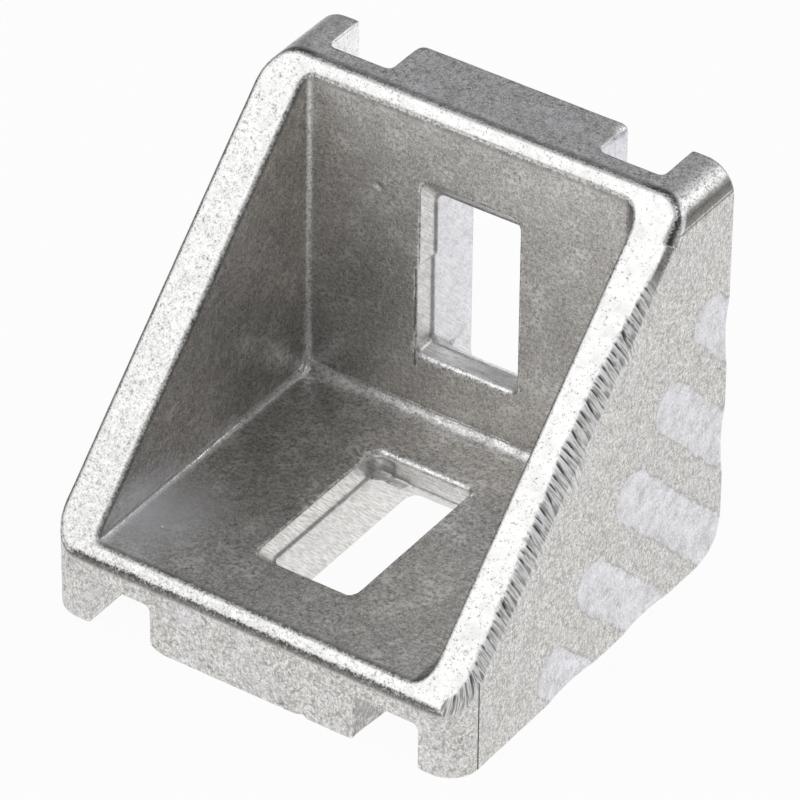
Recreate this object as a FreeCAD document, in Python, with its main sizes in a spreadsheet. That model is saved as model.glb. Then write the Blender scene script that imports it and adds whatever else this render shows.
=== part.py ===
"""Die-cast corner bracket for 40 mm slotted aluminium profile, with M8 slots.

One casting: two walls at right angles (foot and upright), closed at both sides by
triangular cheeks, open along a 45 degree rim.  The walls' outer sides are the mating
sides.  Each carries a central pad with a bolt slot, between two channels; beside the
channels the cheeks' edges stand as ears and reach the same mating plane as the pad.

The body's own frame has its origin on the line where the two mating planes meet, at
mid width: +X to the right, -Y out along the foot, +Z up the upright.  Side sketches
read depth (along -Y) and height, so both legs have positive sizes in them.  The body
is placed half a leg further back, with its origin under the middle of the bracket.
"""
import FreeCAD
import Part
import Sketcher
import math
import os

NODE = "corner_bracket"
PATTERN_STEPS = ("flute_row", "flute_sides")

# name, value in mm, meaning
DIMENSIONS = [
    ("leg_length", 36.0, "each leg, from the corner to its tip"),
    ("bracket_width", 38.2, "across the two cheeks"),
    ("tip_height", 6.4, "end face of a leg, from mating plane to rim"),
    ("wall_inside", 7.2, "inner face of a wall, from its mating plane"),
    ("channel_depth", 4.15, "floor of a channel, from its mating plane"),
    ("cheek_thickness", 3.9, "side cheek, and the ear that it ends in"),
    ("pad_width", 19.1, "central pad of each mating side"),
    ("slot_width", 8.8, "bolt slot through the pad"),
    ("ledge", 0.2, "step all round the slot, where the two halves of the die met"),
    ("slot_near", 13.1, "end of the slot nearer the corner"),
    ("slot_far", 27.0, "end of the slot nearer the tip"),
    ("parting_depth", 5.1, "depth of that step, from the mating plane"),
    ("slot_radius", 0.8, "corners of the slot"),
    ("corner_radius", 2.0, "outer corner where the mating planes meet"),
    ("channel_corner", 1.6, "the same corner on the channel floor"),
    ("tip_radius", 2.6, "corners between end faces and cheeks"),
    ("ear_radius", 0.25, "inner edge of each ear"),
    ("pad_radius", 0.25, "edges of the pad"),
    ("channel_fillet", 0.5, "foot of the channel's sides"),
    ("channel_end", 0.25, "edge of a channel at the end face of a leg"),
    ("floor_fillet", 0.8, "inside, between the two walls"),
    ("left_fillet", 0.6, "inside, left cheek to walls"),
    ("right_fillet", 1.4, "inside, right cheek to walls"),
    ("rim_radius", 0.35, "outer edge of the rim"),
    ("rim_inner_radius", 0.45, "inner edge of the rim"),
    ("bevel", 0.8, "flat filed along the right outer edge of the rim"),
    ("flute_width", 4.6, "flute in the outer face of a cheek"),
    ("flute_depth", 0.3, "depth of a flute"),
    ("flute_pitch", 7.3, "spacing of the flutes"),
    ("flute_end", 20.9, "rounded end of a flute, from the corner"),
    ("flute_start", 24.0, "start of a flute's cutter, outside the corner"),
    ("flute_count", 5, "flutes on each cheek"),
    ("clearance", 3.0, "how far a cut runs past the casting"),
]


def make_sheet(doc):
    """Spreadsheet with one driving dimension a row: name, value, meaning."""
    sheet = doc.addObject("Spreadsheet::Sheet", "dims")
    for row, (alias, value, meaning) in enumerate(DIMENSIONS, start=1):
        sheet.set(f"A{row}", alias)
        sheet.set(f"B{row}", f"{value:g}")
        sheet.set(f"C{row}", meaning)
        sheet.setAlias(f"B{row}", alias)
    doc.recompute()
    return sheet


class Dims:
    """The sheet's values by name, for finding edges and for a sketch's first drawing."""

    def __init__(self):
        for alias, value, _ in DIMENSIONS:
            setattr(self, alias, float(value))


DIM = Dims()
HALF_WIDTH = DIM.bracket_width / 2
CHEEK_INSIDE = HALF_WIDTH - DIM.cheek_thickness
NEAR = 1e-4


def origin_plane(body, role):
    """One of the body's own origin planes, by its role."""
    for feature in body.Origin.OriginFeatures:
        if feature.Role == role:
            return feature
    raise ValueError(f"no {role} in {body.Name}")


def side_sketch(body, name):
    """Sketch in the side view: x is depth from the upright's mating plane, y is height."""
    sketch = body.newObject("Sketcher::SketchObject", name)
    sketch.AttachmentSupport = (origin_plane(body, "YZ_Plane"), [""])
    sketch.MapMode = "FlatFace"
    sketch.MapReversed = True
    return sketch


def hold(sketch, sizes):
    """Add named dimensions, given as (name, constraint, formula of the sheet)."""
    for name, constraint, formula in sizes:
        index = sketch.addConstraint(constraint)
        sketch.renameConstraint(index, name)
        sketch.setExpression(f"Constraints.{name}", formula)


def hold_vertex(sketch, line, label, size, formulas):
    """Hold the start of a line at two sizes, each bound to a formula of the sheet."""
    ways = (("along", "DistanceX", -2), ("up", "DistanceY", -1))
    for (side, kind, axis), value, formula in zip(ways, size, formulas):
        if formula == "0":
            sketch.addConstraint(Sketcher.Constraint("PointOnObject", line, 1, axis))
            continue
        distance = Sketcher.Constraint(kind, -1, 1, line, 1, value)
        hold(sketch, [(f"{label}_{side}", distance, formula)])


def closed_outline(sketch, corners):
    """Closed run of lines through corners given as (label, along, up) formulas."""
    sizes = []
    for _, along, up in corners:
        sizes.append(tuple(formula_value(text) for text in (along, up)))
    points = [FreeCAD.Vector(along, up, 0) for along, up in sizes]
    count = len(points)
    for index, start in enumerate(points):
        sketch.addGeometry(Part.LineSegment(start, points[(index + 1) % count]), False)
    for index in range(count):
        sketch.addConstraint(Sketcher.Constraint("Coincident", index, 2, (index + 1) % count, 1))
    for index, (label, along, up) in enumerate(corners):
        hold_vertex(sketch, index, label, sizes[index], (along, up))


def formula_value(text):
    """Value of a sum such as dims.slot_far + dims.wall_inside - dims.parting_depth."""
    total = 0.0
    for term in text.replace("-", "+-").split("+"):
        term = term.strip()
        if not term:
            continue
        sign = -1.0 if term.startswith("-") else 1.0
        name = term.lstrip("- ").replace("dims.", "")
        total += sign * (getattr(DIM, name) if hasattr(DIM, name) else float(name))
    return total


def edges_where(feature, test):
    """Names of the feature's edges that pass a test of their middle and ends."""
    names = []
    for index, edge in enumerate(feature.Shape.Edges, start=1):
        first, last = edge.ParameterRange
        middle = edge.valueAt((first + last) / 2)
        ends = (edge.valueAt(first), edge.valueAt(last))
        if test(middle, ends):
            names.append(f"Edge{index}")
    return names


def round_edges(body, base, name, size, test, expected=None):
    """Fillet of the edges that pass the test, its radius bound to the sheet."""
    names = edges_where(base, test)
    if expected is not None and len(names) != expected:
        raise ValueError(f"{name}: {len(names)} edges, not {expected}")
    fillet = body.newObject("PartDesign::Fillet", name)
    fillet.Base = (base, names)
    fillet.setExpression("Radius", f"dims.{size}")
    body.Document.recompute()
    return fillet


def cut(body, sketch, name, width):
    """Pocket through the sketch, the same distance to both sides of it."""
    pocket = body.newObject("PartDesign::Pocket", name)
    pocket.Profile = sketch
    pocket.SideType = "Symmetric"
    pocket.setExpression("Length", width)
    body.Document.recompute()
    return pocket


def make_wedge(body):
    """The casting's outer form: a pentagon in side view, its corners rounded."""
    sketch = side_sketch(body, "side_profile")
    closed_outline(sketch, [
        ("corner", "0", "0"),
        ("foot_tip", "dims.leg_length", "0"),
        ("foot_rim", "dims.leg_length", "dims.tip_height"),
        ("upright_rim", "dims.tip_height", "dims.leg_length"),
        ("upright_tip", "0", "dims.leg_length"),
    ])
    wedge = body.newObject("PartDesign::Pad", "wedge")
    wedge.Profile = sketch
    wedge.SideType = "Symmetric"
    wedge.setExpression("Length", "dims.bracket_width")
    body.Document.recompute()

    def outer_corner(middle, ends):
        return abs(middle.y) < NEAR and abs(middle.z) < NEAR

    def tip_corner(middle, ends):
        beside = abs(abs(middle.x) - HALF_WIDTH) < NEAR and abs(ends[0].x - ends[1].x) < NEAR
        at_tip = all(abs(p.z - DIM.leg_length) < NEAR or abs(p.y + DIM.leg_length) < NEAR for p in ends)
        short = (ends[0] - ends[1]).Length < DIM.tip_height + NEAR
        return beside and at_tip and short

    rounded = round_edges(body, wedge, "outer_corner", "corner_radius", outer_corner, 1)
    return round_edges(body, rounded, "tip_corners", "tip_radius", tip_corner, 4)


def make_hollow(body):
    """The space between the walls and the cheeks, open along the rim."""
    sketch = side_sketch(body, "hollow_profile")
    closed_outline(sketch, [
        ("corner", "dims.wall_inside", "dims.wall_inside"),
        ("foot_end", "dims.leg_length + dims.wall_inside", "dims.wall_inside"),
        ("outside", "dims.leg_length + dims.wall_inside", "dims.leg_length + dims.wall_inside"),
        ("upright_end", "dims.wall_inside", "dims.leg_length + dims.wall_inside"),
    ])
    hollow = cut(body, sketch, "hollow", "dims.bracket_width - 2 * dims.cheek_thickness")

    def between_walls(middle, ends):
        return abs(middle.y + DIM.wall_inside) < NEAR and abs(middle.z - DIM.wall_inside) < NEAR

    def beside_cheek(side):
        def test(middle, ends):
            at_cheek = all(abs(p.x - side * CHEEK_INSIDE) < NEAR for p in ends)
            depth = min(-middle.y, middle.z) - DIM.wall_inside
            return at_cheek and depth < DIM.floor_fillet / 2
        return test

    floor = round_edges(body, hollow, "floor_inside", "floor_fillet", between_walls, 1)
    left = round_edges(body, floor, "left_inside", "left_fillet", beside_cheek(-1), 3)
    return round_edges(body, left, "right_inside", "right_fillet", beside_cheek(1), 3)


def make_channels(body):
    """Two channels that run up both mating sides, between the pad and the ears."""
    sketch = side_sketch(body, "channel_profile")
    closed_outline(sketch, [
        ("outside", "0 - dims.clearance", "0 - dims.clearance"),
        ("foot_outside", "dims.leg_length + dims.clearance", "0 - dims.clearance"),
        ("foot_floor", "dims.leg_length + dims.clearance", "dims.channel_depth"),
        ("corner", "dims.channel_depth", "dims.channel_depth"),
        ("upright_floor", "dims.channel_depth", "dims.leg_length + dims.clearance"),
        ("upright_outside", "0 - dims.clearance", "dims.leg_length + dims.clearance"),
    ])
    middle = "(dims.bracket_width / 2 - dims.cheek_thickness + dims.pad_width / 2) / 2"
    width = "dims.bracket_width / 2 - dims.cheek_thickness - dims.pad_width / 2"
    sketch.setExpression("AttachmentOffset.Base.z", middle)
    channel = cut(body, sketch, "channel", width)
    both = mirror(body, [channel], "channels", (origin_plane(body, "YZ_Plane"), [""]))

    def floor_corner(middle, ends):
        return abs(middle.y + DIM.channel_depth) < NEAR and abs(middle.z - DIM.channel_depth) < NEAR

    return round_edges(body, both, "channel_corners", "channel_corner", floor_corner, 2)


def make_slots(body, plane):
    """A bolt slot through each pad.

    The front half of the die cuts it down to the parting depth and the back half cuts
    the rest.  Both halves draw at 45 degrees, so each has one square end and one that
    slopes at 45 degrees, and the bolt passes between the two square ends.
    """
    mouth_profile = side_sketch(body, "mouth_profile")
    closed_outline(mouth_profile, [
        ("near_floor", "dims.parting_depth", "dims.slot_near - dims.ledge"),
        ("near_open", "dims.wall_inside + dims.clearance", "dims.slot_near - dims.ledge"),
        ("far_open", "dims.wall_inside + dims.clearance",
         "dims.slot_far + dims.ledge + dims.wall_inside - dims.parting_depth + dims.clearance"),
        ("far_floor", "dims.parting_depth", "dims.slot_far + dims.ledge"),
    ])
    mouth = cut(body, mouth_profile, "mouth", "dims.slot_width + 2 * dims.ledge")
    slot_profile = side_sketch(body, "slot_profile")
    closed_outline(slot_profile, [
        ("near_floor", "dims.parting_depth", "dims.slot_near"),
        ("far_floor", "dims.parting_depth", "dims.slot_far"),
        ("far_open", "0 - dims.clearance", "dims.slot_far"),
        ("near_open", "0 - dims.clearance", "dims.slot_near - dims.parting_depth - dims.clearance"),
    ])
    slot = cut(body, slot_profile, "slot", "dims.slot_width")
    both = mirror(body, [mouth, slot], "foot_slot", (plane, [""]))

    def slot_corner(middle, ends):
        inside = abs(middle.x) < DIM.slot_width / 2 + DIM.ledge + NEAR
        along_x = abs(ends[0].x - ends[1].x) > NEAR
        through = abs(wall_depth(ends[0]) - wall_depth(ends[1])) > NEAR
        return inside and through and not along_x

    return round_edges(body, both, "slot_corners", "slot_radius", slot_corner, 16)


def diagonal_plane(body):
    """Plane through the outer corner that halves the right angle between the legs."""
    plane = body.newObject("PartDesign::Plane", "diagonal")
    plane.AttachmentSupport = (origin_plane(body, "XY_Plane"), [""])
    plane.MapMode = "FlatFace"
    turn = FreeCAD.Rotation(FreeCAD.Vector(1, 0, 0), -45)
    plane.AttachmentOffset = FreeCAD.Placement(FreeCAD.Vector(), turn)
    body.Document.recompute()
    return plane


def mirror(body, features, name, plane):
    """Mirrored copies of some features, kept together with them."""
    copy = body.newObject("PartDesign::Mirrored", name)
    copy.Originals = features
    copy.MirrorPlane = plane
    body.Tip = copy
    body.Document.recompute()
    return copy


def wall_depth(point):
    """Depth of a point below the nearer of the two mating planes."""
    return min(-point.y, point.z)


def soften_mating_sides(body, base):
    """Rounded pad and ear edges, and fillets at the foot of the channels' sides."""
    pad_side = DIM.pad_width / 2

    def along_legs(beside, depth):
        def test(middle, ends):
            at_side = all(abs(abs(p.x) - beside) < NEAR for p in (*ends, middle))
            at_depth = all(abs(wall_depth(p) - depth) < DIM.corner_radius for p in ends)
            level = abs(wall_depth(middle) - depth) < DIM.corner_radius / 2
            return at_side and at_depth and level
        return test

    def channel_foot(middle, ends):
        sides = (pad_side, CHEEK_INSIDE)
        return any(along_legs(side, DIM.channel_depth)(middle, ends) for side in sides)

    def channel_end(middle, ends):
        at_end = all(max(-p.y, p.z) > DIM.leg_length - NEAR for p in (*ends, middle))
        above_pad = NEAR < wall_depth(middle) < DIM.channel_depth + NEAR
        return at_end and above_pad and pad_side - NEAR < abs(middle.x) < CHEEK_INSIDE + NEAR

    feet = round_edges(body, base, "channel_feet", "channel_fillet", channel_foot, 12)
    mouths = round_edges(body, feet, "channel_ends", "channel_end", channel_end, 20)
    pad = round_edges(body, mouths, "pad_edges", "pad_radius", along_legs(pad_side, 0.0), 6)
    return round_edges(body, pad, "ear_edges", "ear_radius", along_legs(CHEEK_INSIDE, 0.0), 6)


def flute_sketch(body):
    """Half of a flute's cutter, a round bar with a ball end, beside its own axis.

    The sketch's x axis is the cutter's axis.  It runs along the draw at 45 degrees, and
    stands outside the right cheek so that the bar dips in by the depth of a flute.
    """
    sketch = side_sketch(body, "flute_profile")
    radius = (DIM.flute_width ** 2 / 4 + DIM.flute_depth ** 2) / (2 * DIM.flute_depth)
    ball = DIM.flute_end - DIM.flute_width / 2
    back = -DIM.flute_start
    tip = FreeCAD.Vector(ball + radius, 0, 0)
    side = FreeCAD.Vector(ball, radius, 0)
    up = FreeCAD.Vector(0, 0, 1)
    circle = Part.Circle(FreeCAD.Vector(ball, 0, 0), up, radius)
    sketch.addGeometry([
        Part.LineSegment(tip, FreeCAD.Vector(back, 0, 0)),
        Part.LineSegment(FreeCAD.Vector(back, 0, 0), FreeCAD.Vector(back, radius, 0)),
        Part.LineSegment(FreeCAD.Vector(back, radius, 0), side),
        Part.ArcOfCircle(circle, 0, math.pi / 2),
    ], False)
    sketch.addConstraint([
        Sketcher.Constraint("Coincident", 0, 2, 1, 1),
        Sketcher.Constraint("Coincident", 1, 2, 2, 1),
        Sketcher.Constraint("Coincident", 0, 1, 3, 1),
        Sketcher.Constraint("Tangent", 2, 2, 3, 2),
        Sketcher.Constraint("PointOnObject", 0, 1, -1),
        Sketcher.Constraint("PointOnObject", 0, 2, -1),
        Sketcher.Constraint("PointOnObject", 3, 3, -1),
        Sketcher.Constraint("Vertical", 1),
        Sketcher.Constraint("Horizontal", 2),
    ])
    reach = "(dims.flute_width ^ 2 / 4 + dims.flute_depth ^ 2) / (2 * dims.flute_depth)"
    hold(sketch, [
        ("back", Sketcher.Constraint("DistanceX", 0, 2, -1, 1, -back), "dims.flute_start"),
        ("ball", Sketcher.Constraint("DistanceX", -1, 1, 3, 3, ball), "dims.flute_end - dims.flute_width / 2"),
        ("radius", Sketcher.Constraint("Radius", 3, radius), reach),
    ])
    lowest = "(dims.flute_count - 1) / 2 * dims.flute_pitch / sqrt(2)"
    sketch.AttachmentOffset = FreeCAD.Placement(FreeCAD.Vector(), FreeCAD.Rotation(up, 45))
    sketch.setExpression("AttachmentOffset.Base.x", lowest)
    sketch.setExpression("AttachmentOffset.Base.y", f"-({lowest})")
    sketch.setExpression("AttachmentOffset.Base.z", f"-(dims.bracket_width / 2 - dims.flute_depth + {reach})")
    return sketch


def make_flutes(body):
    """Five shallow flutes on each cheek, along the die's 45 degree draw."""
    sketch = flute_sketch(body)
    flute = body.newObject("PartDesign::Groove", "flute")
    flute.Profile = sketch
    flute.ReferenceAxis = (sketch, ["H_Axis"])
    flute.Angle = 360
    body.Document.recompute()
    row = body.newObject("PartDesign::LinearPattern", "flute_row")
    row.Direction = (sketch, ["V_Axis"])
    row.Mode = "Spacing"
    row.setExpression("Offset", "dims.flute_pitch")
    row.setExpression("Occurrences", "dims.flute_count")
    sides = body.newObject("PartDesign::Mirrored", "flute_sides")
    sides.MirrorPlane = (origin_plane(body, "YZ_Plane"), [""])
    flutes = body.newObject("PartDesign::MultiTransform", "flutes")
    flutes.Originals = [flute]
    flutes.Transformations = [row, sides]
    body.Tip = flutes
    body.Document.recompute()
    return flutes


def round_rim(body, base):
    """Rounded outer and inner edges of the rim."""
    rim = DIM.leg_length + DIM.tip_height

    def in_rim(middle, ends):
        return all(abs(p.z - p.y - rim) < NEAR for p in (*ends, middle))

    def beside_hollow(point):
        return abs(point.x) < CHEEK_INSIDE + NEAR and wall_depth(point) > DIM.wall_inside - NEAR

    def outer_edge(middle, ends):
        return in_rim(middle, ends) and not beside_hollow(middle)

    def inner_edge(middle, ends):
        return in_rim(middle, ends) and beside_hollow(middle)

    outer = round_edges(body, base, "rim_edge", "rim_radius", outer_edge, 8)
    return round_edges(body, outer, "rim_inner_edge", "rim_inner_radius", inner_edge, 8)


def make_bevel(body, plane):
    """The flat that was filed along the right outer edge of the rim, to take off flash.

    Its sketch lies across the edge, on the plane that halves the corner: x is to the
    right and y is from the rim down to the corner.
    """
    sketch = body.newObject("Sketcher::SketchObject", "bevel_profile")
    sketch.AttachmentSupport = (plane, [""])
    sketch.MapMode = "FlatFace"
    side = HALF_WIDTH + DIM.clearance
    top = -(DIM.leg_length + DIM.tip_height) / math.sqrt(2) - DIM.clearance
    leg = DIM.bevel + 2 * DIM.clearance
    corner = FreeCAD.Vector(side, top, 0)
    below = FreeCAD.Vector(side, top + leg, 0)
    inward = FreeCAD.Vector(side - leg, top, 0)
    sketch.addGeometry([
        Part.LineSegment(corner, below),
        Part.LineSegment(below, inward),
        Part.LineSegment(inward, corner),
    ], False)
    sketch.addConstraint([
        Sketcher.Constraint("Coincident", 0, 2, 1, 1),
        Sketcher.Constraint("Coincident", 1, 2, 2, 1),
        Sketcher.Constraint("Coincident", 2, 2, 0, 1),
        Sketcher.Constraint("Vertical", 0),
        Sketcher.Constraint("Horizontal", 2),
    ])
    rim = "(dims.leg_length + dims.tip_height) / sqrt(2)"
    reach = "dims.bevel + 2 * dims.clearance"
    hold(sketch, [
        ("side", Sketcher.Constraint("DistanceX", -1, 1, 0, 1, side), "dims.bracket_width / 2 + dims.clearance"),
        ("top", Sketcher.Constraint("DistanceY", -1, 1, 0, 1, top), f"0 - {rim} - dims.clearance"),
        ("down", Sketcher.Constraint("DistanceY", 0, 1, 0, 2, leg), reach),
        ("across", Sketcher.Constraint("DistanceX", 2, 1, 2, 2, leg), reach),
    ])
    return cut(body, sketch, "bevel", "2 * dims.leg_length")


def check_features(body):
    """Stop if a feature is in error, or if a cut or a fillet has changed nothing."""
    volume = 0.0
    for feature in body.Group:
        if "Invalid" in feature.State or "Error" in feature.State:
            raise ValueError(f"{feature.Name}: {feature.State}")
        if feature.TypeId == "Sketcher::SketchObject" and not feature.FullyConstrained:
            raise ValueError(f"{feature.Name} is not fully constrained")
        if not feature.isDerivedFrom("PartDesign::Feature") or feature.Name in PATTERN_STEPS:
            continue
        shape = feature.Shape
        if shape.isNull() or not shape.isValid() or len(shape.Solids) != 1:
            raise ValueError(f"{feature.Name} is not one valid solid")
        if abs(shape.Volume - volume) < NEAR:
            raise ValueError(f"{feature.Name} changes nothing")
        volume = shape.Volume


def main():
    doc = FreeCAD.newDocument("corner_bracket")
    make_sheet(doc)
    body = doc.addObject("PartDesign::Body", NODE)
    body.Label = NODE
    make_wedge(body)
    make_hollow(body)
    make_channels(body)
    plane = diagonal_plane(body)
    slots = make_slots(body, plane)
    soften_mating_sides(body, slots)
    flutes = make_flutes(body)
    round_rim(body, flutes)
    make_bevel(body, plane)
    body.setExpression("Placement.Base.y", "dims.leg_length / 2")
    doc.recompute()
    check_features(body)
    os.makedirs("parts", exist_ok=True)
    body.Shape.exportStep(f"parts/{NODE}.step")


main()
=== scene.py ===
"""Look of the die-cast corner bracket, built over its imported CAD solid."""

import math

import bmesh
import bpy
import numpy as np
from mathutils import Matrix, Vector, noise


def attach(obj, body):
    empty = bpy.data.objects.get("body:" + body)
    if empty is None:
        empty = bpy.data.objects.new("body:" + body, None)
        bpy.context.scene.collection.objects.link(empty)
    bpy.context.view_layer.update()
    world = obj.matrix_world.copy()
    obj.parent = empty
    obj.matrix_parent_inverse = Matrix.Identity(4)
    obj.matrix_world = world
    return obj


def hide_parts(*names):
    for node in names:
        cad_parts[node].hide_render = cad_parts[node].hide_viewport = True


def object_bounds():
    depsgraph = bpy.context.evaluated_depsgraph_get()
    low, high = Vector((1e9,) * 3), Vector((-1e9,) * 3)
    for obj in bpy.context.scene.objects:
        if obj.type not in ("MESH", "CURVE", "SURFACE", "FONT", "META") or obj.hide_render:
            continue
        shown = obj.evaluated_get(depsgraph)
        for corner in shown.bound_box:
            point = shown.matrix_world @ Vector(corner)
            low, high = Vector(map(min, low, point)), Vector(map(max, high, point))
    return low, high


MM = 0.001
NODE = "corner_bracket"
MOST_TRIANGLES = 196000
VOXEL, QUICK_VOXEL = 0.15, 0.3

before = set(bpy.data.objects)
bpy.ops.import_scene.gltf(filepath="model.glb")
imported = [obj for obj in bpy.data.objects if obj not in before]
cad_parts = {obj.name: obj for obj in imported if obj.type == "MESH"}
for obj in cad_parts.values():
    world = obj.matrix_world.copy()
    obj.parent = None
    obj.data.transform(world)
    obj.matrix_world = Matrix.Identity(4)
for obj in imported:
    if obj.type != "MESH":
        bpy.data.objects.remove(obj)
cad_box = [list(corner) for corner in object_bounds()]

# ---------------------------------------------------------------- the casting's sizes, mm
# Depth is measured forward from the upright's mating side, height from the foot's.
LOW, HIGH = (np.array(corner) / MM for corner in cad_box)
LEG = HIGH[2] - LOW[2]
HALF_WIDTH = (HIGH[0] - LOW[0]) / 2
BACK = HIGH[1]  # where the depth is 0
TIP_HEIGHT = 6.4
RIM_SUM = LEG + TIP_HEIGHT  # depth and height together, anywhere on the rim
RIM_LENGTH = (LEG - TIP_HEIGHT) * math.sqrt(2)
WALL = 7.2
CHEEK_INSIDE = HALF_WIDTH - 3.9
TIP_RADIUS = 2.6
TIP_ARC = 3.16  # how far the file went round the lower tip, for each radian
TIP_START = LEG - TIP_RADIUS
TIP_PATH = RIM_LENGTH / 2 + (RIM_SUM / 2 - TIP_START) * math.sqrt(2)
WRAP_END = 1.32  # where the bevel ends round that tip, in radians
PAD_HALF = 9.55
FRONT_LINE = 33.5  # depth of the fine groove at the front
TOP_LINE = 33.85  # height of the one at the top
SLOT_HALF = 4.4
LEDGE = 0.2  # step between the two halves of a slot
SLOT_CORNER = 0.8
PARTING = 5.1  # how deep in the wall that step is, from the mating side
MOUTH_NEAR = 13.1 - LEDGE  # end of a slot nearest to the corner
FLUTE_PITCH = 7.3
FLUTE_HALF = 2.3
FLUTE_END = 20.9
JUNCTION = 0.8  # fillet of the solid between the walls
JUNCTION_RAMP = 1.6  # the wider sweep up from the floor
TOOTH = 0.75  # pitch of the file marks
SLANT = 0.6
MARKS_END = 36.5  # how far up the rim the marks go
FILED_FROM = 15  # nothing left of this was filed
BEVEL_TOP = 38.5  # how far up the rim the edge is sharpened
RIM_NORMAL = np.array([0.0, -1.0, 1.0]) / math.sqrt(2)


# ---------------------------------------------------------------- mesh tools
def apply_modifiers(obj):
    graph = bpy.context.evaluated_depsgraph_get()
    mesh = bpy.data.meshes.new_from_object(obj.evaluated_get(graph))
    obj.modifiers.clear()
    old = obj.data
    obj.data = mesh
    bpy.data.meshes.remove(old)


def new_object(name, mesh):
    obj = bpy.data.objects.new(name, mesh)
    bpy.context.scene.collection.objects.link(obj)
    return obj


def read(mesh, key="co"):
    """Positions in mm, or unit normals, of the mesh's points."""
    flat = np.empty(len(mesh.vertices) * 3)
    mesh.vertices.foreach_get(key, flat)
    values = flat.reshape(-1, 3)
    return values / MM if key == "co" else values


def write(mesh, points):
    mesh.vertices.foreach_set("co", (points * MM).ravel())
    mesh.update()


def ease(low, high, value):
    """0 below low, 1 above high, with soft ends."""
    t = np.clip((value - low) / (high - low), 0, 1)
    return t * t * (3 - 2 * t)


def within(low, high, soft, value):
    """1 between low and high, fading to 0 over soft."""
    return ease(low - soft, low, value) * (1 - ease(high, high + soft, value))


def ripple(points, size, shift=0.0):
    """Smooth noise from -1 to 1 with swellings about size mm across."""
    scaled = points / size + shift
    return np.array([noise.noise(Vector(point)) for point in scaled])


def ripple_along(value, size, shift=0.0):
    return ripple(np.column_stack((value, value * 0, value * 0)), size, shift)


# ---------------------------------------------------------------- places on the casting
def rim_place(points):
    """Height over the rim's plane, and way up the rim from its lower end."""
    depth = BACK - points[:, 1]
    height = (depth + points[:, 2] - RIM_SUM) / math.sqrt(2)
    along = (points[:, 2] - depth) / math.sqrt(2) + RIM_LENGTH / 2
    return height, along


def rim_outline(points):
    """Distance in from the sides and rounded end faces, and the way out of them."""
    depth = BACK - points[:, 1]
    past_side = np.maximum(np.abs(points[:, 0]) - (HALF_WIDTH - TIP_RADIUS), 0)
    past_front = np.maximum(depth - TIP_START, 0)
    past_top = np.maximum(points[:, 2] - TIP_START, 0)
    reach = np.sqrt(past_side ** 2 + past_front ** 2 + past_top ** 2)
    way = np.column_stack((past_side * np.sign(points[:, 0]), -past_front, past_top))
    way = way / np.maximum(reach, 1e-3)[:, None]
    return TIP_RADIUS - reach, way


def round_tip(points):
    """How far round the lower tip's corner, in radians from the cheek."""
    past_front = np.maximum(BACK - points[:, 1] - TIP_START, 0)
    return np.arctan2(past_front, np.maximum(points[:, 0] - (HALF_WIDTH - TIP_RADIUS), 1e-3))


def leg_place(points, upright):
    """Depth through a leg's wall from its mating side, and way along it from the corner."""
    depth = BACK - points[:, 1]
    return (depth, points[:, 2]) if upright else (points[:, 2], depth)


def leg_move(upright, across, wall, along):
    """Moves across, out through the wall and along the leg, as x, y, z."""
    if upright:
        return np.column_stack((across, -wall, along))
    return np.column_stack((across, -along, wall))


# ---------------------------------------------------------------- shape of the casting
def bevel_legs(points, along):
    """How far the file took the right edge back: on the rim, and down the cheek."""
    on_rim = 0.76 + 0.5 * np.exp(-((along - 22.5) / 7.5) ** 2) - 0.36 * ease(30, 38, along)
    on_cheek = 0.54 - 0.16 * ease(34, 40, along)
    turn = round_tip(points)
    share = (1 - 0.35 * ease(0.2, 1.1, turn)) * (1 - ease(WRAP_END - 0.12, WRAP_END, turn))
    share *= (points[:, 0] > FILED_FROM) * (1 - ease(39.6, 41.0, along))
    return on_rim * share, on_cheek * share


def sharpen_edge(points, inside, height, out, along):
    """Fill the edge's rounding out to its corner, so that the bevel alone shapes it."""
    straight = ((along < BEVEL_TOP) & (points[:, 0] > HALF_WIDTH - TIP_RADIUS)
                & (round_tip(points) < WRAP_END))
    fill = np.maximum(np.minimum(-height, inside), 0) * straight
    way = (out + RIM_NORMAL) / math.sqrt(2)
    return points + (fill * math.sqrt(2))[:, None] * way, inside - fill, height + fill


def file_rim_edge(points):
    """The bevel that a coarse file left along the right edge, with its slanting marks."""
    height, along = rim_place(points)
    inside, out = rim_outline(points)
    index = np.nonzero((points[:, 0] > FILED_FROM) & (height > -2.0) & (inside < 2.5)
                       & (along > -1.5) & (along < RIM_LENGTH))[0]
    height, along, inside, out = height[index], along[index], inside[index], out[index]
    part, inside, height = sharpen_edge(points[index], inside, height, out, along)

    on_rim, on_cheek = bevel_legs(part, along)
    tooth, strength = tooth_place(part, inside, height, along)
    on_rim = on_rim + (0.13 * strength * tooth - 0.04) * ease(0.1, 0.5, on_rim)
    on_rim, on_cheek = np.maximum(on_rim, 1e-4), np.maximum(on_cheek, 1e-4)
    missing = np.maximum(1 - inside / on_rim + height / on_cheek, 0)
    way = out * on_cheek[:, None] + RIM_NORMAL * on_rim[:, None]
    way = way / np.linalg.norm(way, axis=1)[:, None]
    off = missing / ((way * out).sum(axis=1) / on_rim + (way @ RIM_NORMAL) / on_cheek)
    points[index] = part - off[:, None] * way


def tooth_place(points, inside, height, along):
    """Place within a file mark, 0 to 1, and how strong that mark is."""
    across = -(inside + height) / math.sqrt(2)
    turn = round_tip(points)
    path = np.where(turn > 0, TIP_PATH - TIP_ARC * turn, along)
    drift = 0.25 * np.sin(path * 0.9) + 0.15 * np.sin(path * 2.3 + 1)
    phase = (path + SLANT * across) / TOOTH + drift
    mark = np.floor(phase)
    strength = 0.55 + 0.45 * np.sin(mark * 2.4) * np.sin(mark * 0.7 + 2)
    strength = strength * (1 - ease(MARKS_END - 2.5, MARKS_END, along))
    return phase - mark, strength


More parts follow.
